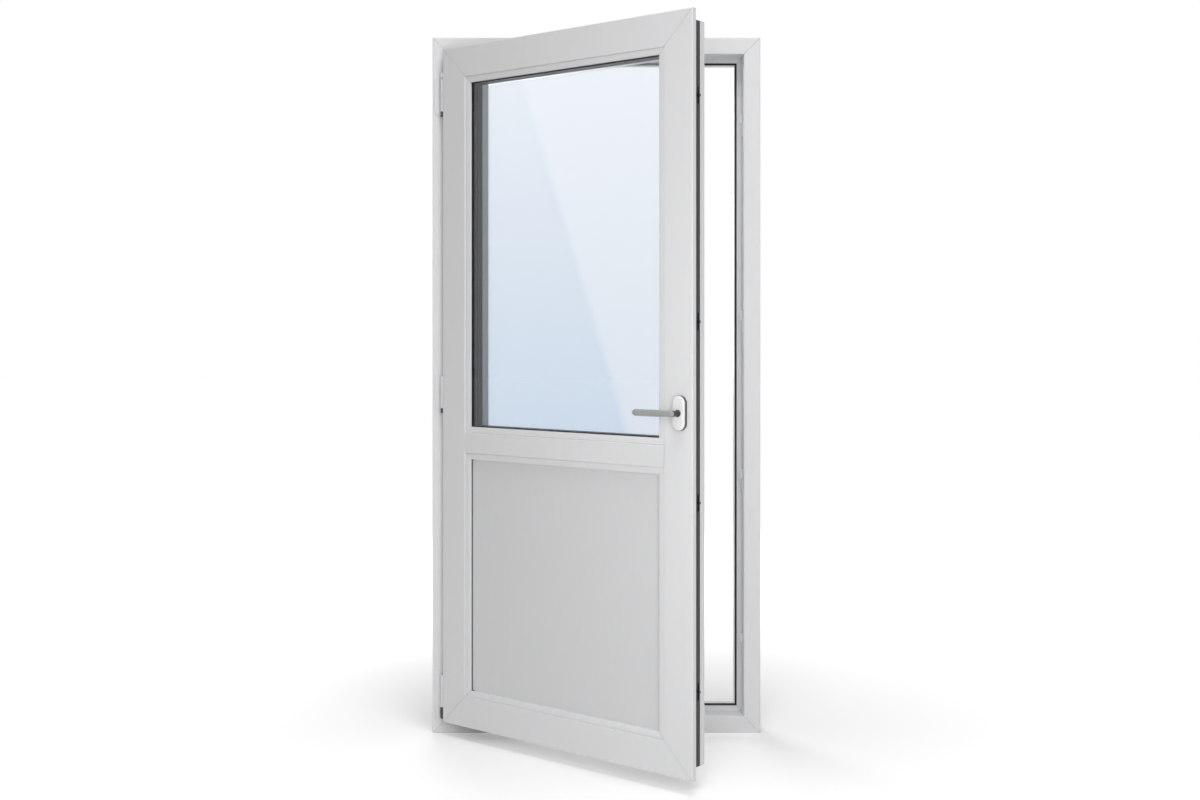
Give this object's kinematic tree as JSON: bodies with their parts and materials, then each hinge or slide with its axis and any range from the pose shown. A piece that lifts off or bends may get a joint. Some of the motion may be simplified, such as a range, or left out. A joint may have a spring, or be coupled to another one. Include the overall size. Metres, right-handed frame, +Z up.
{
  "type": "tilt and turn balcony door",
  "caption": "White plastic balcony door in its frame, glazed above and panelled below, that turns or tilts inward, with barrel hinges and a lever handle.",
  "frame": {"origin": "middle of the sill's underside, halfway through the frame's depth", "axes": "+X along the width from the hinges to the lock, +Y from the room to the outside, +Z up"},
  "size_m": [0.99, 0.7012, 2.1],
  "materials": {
    "white_pvc": "smooth satin white PVC",
    "panel_white": "smooth satin white",
    "reinforcement_steel": "galvanised",
    "black_seal": "matte black",
    "clear_glass": "clear float glass",
    "spacer_metal": "mill aluminium",
    "dark_sealant": "matte",
    "block_plastic": "matte",
    "hinge_white": "white powder coat",
    "hinge_steel": "satin",
    "handle_metal": "satin anodised",
    "rosette_white": "white powder coat",
    "keep_zinc": "light zinc",
    "lock_steel": "dark zinc"
  },
  "bodies": {
    "frame": {"frame_head": "white_pvc", "frame_jamb_hinge": "white_pvc", "frame_jamb_lock": "white_pvc", "frame_seal": "black_seal", "frame_sill": "white_pvc", "frame_steel_bottom": "reinforcement_steel", "frame_steel_hinge_side": "reinforcement_steel", "frame_steel_lock_side": "reinforcement_steel", "frame_steel_top": "reinforcement_steel", "hinge_leaf_bottom": "hinge_white", "hinge_leaf_middle": "hinge_white", "hinge_leaf_top": "hinge_white", "hinge_pin_bottom": "hinge_steel", "hinge_pin_middle": "hinge_steel", "hinge_pin_top": "hinge_steel", "lock_keeps": "keep_zinc"},
    "pivot": {"pivot_block": "hinge_steel"},
    "sash": {"glass_bead_bottom": "white_pvc", "glass_bead_hinge_side": "white_pvc", "glass_bead_lock_side": "white_pvc", "glass_bead_top": "white_pvc", "glass_blocks": "block_plastic", "glass_edge_sealant": "dark_sealant", "glass_gasket_outside": "black_seal", "glass_gasket_room": "black_seal", "glass_inner": "clear_glass", "glass_middle": "clear_glass", "glass_outer": "clear_glass", "glass_spacer": "spacer_metal", "handle_rosette": "rosette_white", "hinge_hook_bottom": "hinge_white", "hinge_hook_middle": "hinge_white", "hinge_hook_top": "hinge_white", "infill_panel": "panel_white", "lock_faceplate": "lock_steel", "lock_gearbox": "lock_steel", "panel_bead_bottom": "white_pvc", "panel_bead_hinge_side": "white_pvc", "panel_bead_lock_side": "white_pvc", "panel_bead_top": "white_pvc", "panel_blocks": "block_plastic", "panel_gasket_outside": "black_seal", "panel_gasket_room": "black_seal", "sash_bottom_rail": "white_pvc", "sash_seal": "black_seal", "sash_steel_bottom": "reinforcement_steel", "sash_steel_hinge_side": "reinforcement_steel", "sash_steel_lock_side": "reinforcement_steel", "sash_steel_top": "reinforcement_steel", "sash_stile_hinge": "white_pvc", "sash_stile_lock": "white_pvc", "sash_top_rail": "white_pvc", "tilt_bearing": "hinge_steel", "transom": "white_pvc", "transom_steel": "reinforcement_steel"},
    "handle": {"handle_lever": "handle_metal", "handle_spindle": "lock_steel", "lock_follower": "lock_steel"},
    "rod": {"drive_rod": "lock_steel"},
    "stay": {"stay_arm": "lock_steel"}
  },
  "joints": [
    {"name": "turn", "type": "hinge", "parent": "frame", "child": "pivot", "pos_m": [-0.4632, -0.058, 0.058], "axis": [0, 0, -1], "range_deg": [-38.4, 51.6]},
    {"name": "tilt", "type": "hinge", "parent": "pivot", "child": "sash", "pos_m": [-0.4632, -0.058, 0.058], "axis": [0.7837, -0.6211, 0], "range_deg": [0, 5]},
    {"name": "handle_turn", "type": "hinge", "parent": "sash", "child": "handle", "pos_m": [0.22242, -0.61162, 1], "axis": [0.6211, 0.7837, 0], "range_deg": [-90, 90]},
    {"name": "stay_turn", "type": "hinge", "parent": "pivot", "child": "stay", "pos_m": [-0.4632, -0.058, 1.983], "axis": [0, 0, -1], "range_deg": [0, 24.9]},
    {"name": "rod_slide", "type": "slide", "parent": "sash", "child": "rod", "axis": [0, 0, 1], "range_m": [-0.018, 0.018]}
  ],
  "couplings": [
    {"joint": "rod_slide", "follows": "handle_turn", "m_per_rad": -0.01145},
    {"joint": "stay_turn", "follows": "tilt", "ratio": 4.97}
  ]
}
